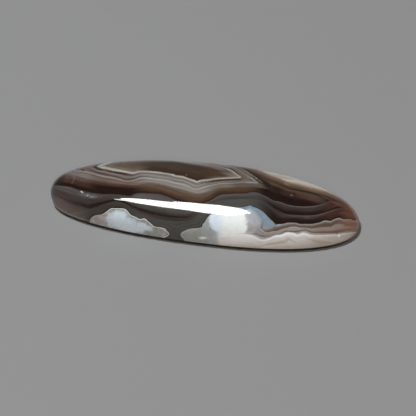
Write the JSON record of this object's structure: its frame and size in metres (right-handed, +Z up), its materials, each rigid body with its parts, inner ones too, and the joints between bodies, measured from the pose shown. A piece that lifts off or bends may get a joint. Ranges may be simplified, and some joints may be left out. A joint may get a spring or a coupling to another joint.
{
  "type": "agate cabochon",
  "caption": "Long oval polished banded agate cabochon with a low dome, a thin bevelled edge and a flat back, for resting loose or setting in a bezel.",
  "frame": {"origin": "middle of the flat back, which is the bottom middle of the stone's box", "axes": "+Z up through the dome, +X along the stone's length towards its wider end, +Y across its width"},
  "size_m": [0.0522, 0.0192, 0.0072],
  "materials": {
    "polished_agate": "polished"
  },
  "bodies": {
    "root": {"agate_cabochon": "polished_agate"}
  },
  "joints": []
}
